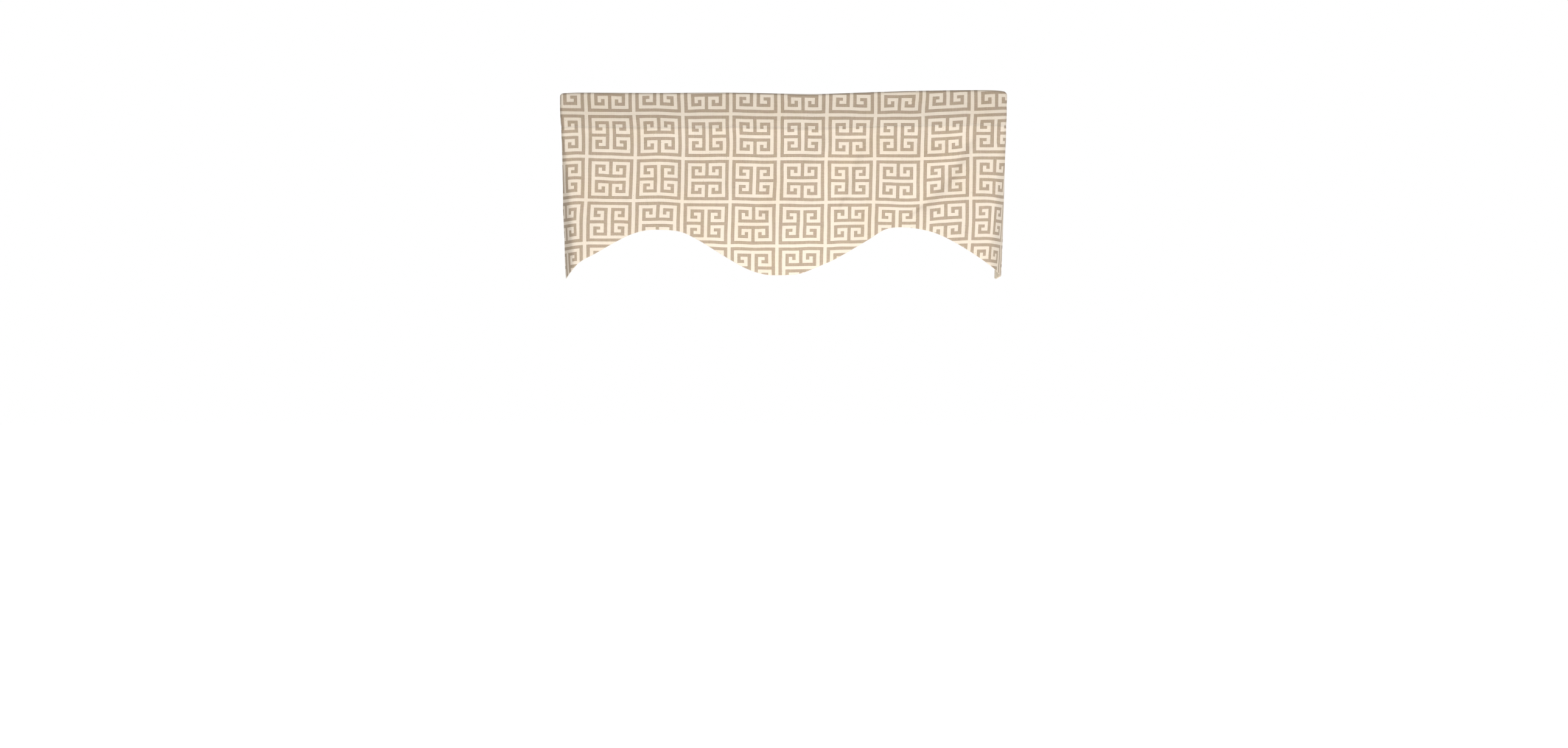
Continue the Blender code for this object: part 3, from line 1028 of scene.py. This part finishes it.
class ValanceColours(PropertyGroup):
    """Colours of the cloths, the thread and the floor."""

    cream: paint("Cream", "Ground of the print", (0.805, 0.705, 0.583))
    taupe: paint("Taupe", "Lines of the print", (0.446, 0.348, 0.262))
    # Painted shade over the pocket, not a duller cloth: how much darker and greyer the pocket is drawn.
    pocket_painted_shade: paint("Pocket shade", "How much duller the pocket's cotton is", (0.875, 0.88, 0.885))
    # The lining's colour is partly its own unbleached cream and partly painted shade: it is drawn about a
    # fifth darker than the cloth is.
    lining: paint("Lining", "Plain cotton lining", (0.63, 0.557, 0.445))
    thread: paint("Thread", "Sewing thread", (0.34, 0.27, 0.205))
    floor: paint("Floor", "Plain pale floor", (0.86, 0.86, 0.86))


def settings(context):
    """The sizes and colours in the panel, and the shape that follows from them."""
    sizes = context.scene.valance_sizes
    return sizes, context.scene.valance_colours, Hanging(sizes)


def hung_cloth(hanging, end_short, loop):
    """A cloth's stations and points, and how many points of each column are on its outer side."""
    station = stations(end_short, hanging.depth)
    points = hanging.place(station, *loop(hanging, station))
    return station, points, (points.shape[1] - 2 * EDGE_STEPS) // 2


# -------- operators


class VALANCE_OT_cotton_panel(Operator):
    """Make the printed cotton: turned edge, rod pocket, face, corners, returns and shaped hem"""

    bl_idname = "valance.cotton_panel"
    bl_label = "Cotton panel"
    bl_options = {"REGISTER", "UNDO"}

    def execute(self, context):
        sizes, colours, hanging = settings(context)
        station, points, outer = hung_cloth(hanging, 0.0, cotton_loop)
        top_row = TURN_STEPS + ROLL_STEPS
        u, v = print_place(hanging, station, points[:, :outer], top_row)
        maps = {
            "cloth": cloth_map(points, top_row, outer),
            "print": (both_sides(u), both_sides(v)),
        }
        mesh = cloth_mesh("cotton_panel", points, maps, outer)
        piece = put("cotton_panel", mesh, cotton_material(sizes, colours))
        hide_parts("face_panel")
        return {"FINISHED"}


class VALANCE_OT_lining(Operator):
    """Make the plain lining: the pocket's back wall, and the cloth behind the face and the returns"""

    bl_idname = "valance.lining"
    bl_label = "Lining"
    bl_options = {"REGISTER", "UNDO"}

    def execute(self, context):
        sizes, colours, hanging = settings(context)
        _, points, outer = hung_cloth(hanging, END_SHORT, lining_loop)
        maps = {"cloth": cloth_map(points, 0, outer)}
        mesh = cloth_mesh("lining", points, maps, outer)
        piece = put("lining", mesh, lining_material(sizes, colours))
        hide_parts("lining_panel")
        return {"FINISHED"}


class VALANCE_OT_stitches(Operator):
    """Sew the rows of stitches: the pocket's seam, front and back, and the turned edge"""

    bl_idname = "valance.stitches"
    bl_label = "Stitches"
    bl_options = {"REGISTER", "UNDO"}

    def execute(self, context):
        sizes, colours, hanging = settings(context)
        tree = stitch_tree(thread_material(colours))
        behind = hanging.lining_inset + hanging.lining
        rows = (
            ("seam_stitches_front", SEAM_DROP, 0.0, 1.0),
            ("seam_stitches_back", SEAM_DROP, behind, -1.0),
            ("turned_edge_stitches", TURN_STITCH, 2 * hanging.roll_half, -1.0),
        )
        for name, drop, inset, outward in rows:
            path = seam_path(hanging, drop, inset)
            values = (
                sizes.stitch_pitch,
                sizes.stitch_length,
                sizes.thread_radius,
                sizes.thread_radius * STITCH_RISE,
                outward,
            )
            mesh = stitch_row(name, tree, path, values)
            piece = put(name, mesh, *mesh.materials)
        bpy.data.node_groups.remove(tree)
        return {"FINISHED"}


class VALANCE_OT_hang(Operator):
    """An empty step: it states no sizes and nothing that the cloths hang with, and finishes at once"""

    bl_idname = "valance.hang"
    bl_label = "State the cloths"
    bl_options = {"REGISTER"}

    def execute(self, context):
        return {"FINISHED"}


FLOOR_HALF, FLOOR_Z, FLOOR_GLOW = 30.0, -1.75, 0.71
WORLD_LIGHT = (0.78, 0.20, 1.0)  # from the room and from behind, from the sides, and as it is seen
MIDDLE = (0.0, 0.0, -0.22)  # the point that most of the lights face

# Name, place, the point it faces, size and power
LIGHTS = (
    ("key", (5.6, -6.0, 0.8), MIDDLE, 2.2, 252.0),
    ("fill", (-5.0, -6.0, 0.4), MIDDLE, 2.2, 52.0),
    ("low", (0.0, -1.0, -1.1), (0.0, 0.0, -0.40), 0.7, 10.5),
    ("rear_left", (-6.0, 5.0, 1.0), MIDDLE, 2.5, 170.0),
    ("rear_right", (6.0, 5.0, 1.0), MIDDLE, 2.5, 130.0),
)


def floor_material(colours):
    """A plain pale floor with a soft glow of its own, so that it stays pale far from the lights."""
    base = (*colours.floor, 1.0)
    material, shader, n = new_material("floor", Base_Color=base, Roughness=0.9)
    rays = n.add("ShaderNodeLightPath").outputs["Is Camera Ray"]
    glow = n.times(rays, FLOOR_GLOW)
    n.give_named(shader, Emission_Color=(1.0, 1.0, 1.0, 1.0), Emission_Strength=glow)
    return material


def area_light(name, place, aim, size, power):
    """A square studio light that faces a point."""
    lamp = bpy.data.lights.new(name, "AREA")
    lamp.shape, lamp.size, lamp.energy = "SQUARE", size, power
    light = add_object(name, lamp)
    light.location = place
    light.rotation_euler = (Vector(aim) - Vector(place)).to_track_quat("-Z", "Y").to_euler()


def studio_world(front, side, seen):
    """Soft light from the room and from behind, less from the sides, and plain pale surroundings."""
    world = bpy.data.worlds.new("studio")
    world.use_nodes = True
    n = Nodes(world.node_tree)
    world.node_tree.nodes.clear()
    y = n.split(n.add("ShaderNodeTexCoord").outputs["Generated"])[1]
    light = n.scaled(n.times(y, y), front - side, side)
    rays = n.add("ShaderNodeLightPath").outputs["Is Camera Ray"]
    strength = n.choose(rays, light, seen)
    background = n.add("ShaderNodeBackground", (1.0, 1.0, 1.0, 1.0), strength)
    n.add("ShaderNodeOutputWorld", background.outputs[0])
    bpy.context.scene.world = world


class VALANCE_OT_stage(Operator):
    """Set up the pale floor, the soft studio light and the camera"""

    bl_idname = "valance.stage"
    bl_label = "Stage"
    bl_options = {"REGISTER", "UNDO"}

    def execute(self, context):
        mesh = bpy.data.meshes.new("floor")
        far, low = FLOOR_HALF, FLOOR_Z
        corners = [(-far, -far, low), (far, -far, low), (far, far, low), (-far, far, low)]
        mesh.from_pydata(corners, [], [(0, 1, 2, 3)])
        floor = add_object("floor", mesh)
        mesh.materials.append(floor_material(context.scene.valance_colours))
        studio_world(*WORLD_LIGHT)
        for light in LIGHTS:
            area_light(*light)
        camera = bpy.data.cameras.new("camera")
        camera.sensor_width, camera.lens = SENSOR, LENS
        view = add_object("camera", camera)
        view.location = (VIEW_X, -VIEW_AWAY - FACE_FORWARD, VIEW_Z)
        view.rotation_euler = (math.pi / 2, 0.0, 0.0)
        context.scene.camera = view
        context.scene.view_settings.view_transform = "Standard"
        return {"FINISHED"}


class VALANCE_PT_panel(Panel):
    """Sizes, colours and buttons of the valance"""

    bl_label = "Window valance"
    bl_idname = "VALANCE_PT_panel"
    bl_space_type = "VIEW_3D"
    bl_region_type = "UI"
    bl_category = "Valance"

    def draw(self, context):
        layout = self.layout
        for group in (context.scene.valance_sizes, context.scene.valance_colours):
            column = layout.column(align=True)
            for name in group.__annotations__:
                column.prop(group, name)
        for operator in OPERATORS:
            layout.operator(operator.bl_idname)


OPERATORS = (
    VALANCE_OT_cotton_panel,
    VALANCE_OT_lining,
    VALANCE_OT_stitches,
    VALANCE_OT_hang,
    VALANCE_OT_stage,
)
CLASSES = (ValanceSizes, ValanceColours, *OPERATORS, VALANCE_PT_panel)


def register():
    for each in CLASSES:
        bpy.utils.register_class(each)
    bpy.types.Scene.valance_sizes = PointerProperty(type=ValanceSizes)
    bpy.types.Scene.valance_colours = PointerProperty(type=ValanceColours)


def unregister():
    del bpy.types.Scene.valance_colours
    del bpy.types.Scene.valance_sizes
    for each in reversed(CLASSES):
        bpy.utils.unregister_class(each)


def main():
    register()
    bpy.ops.valance.cotton_panel()
    bpy.ops.valance.lining()
    bpy.ops.valance.stitches()
    bpy.ops.valance.hang()
    bpy.ops.valance.stage()


if __name__ == "__main__":
    main()
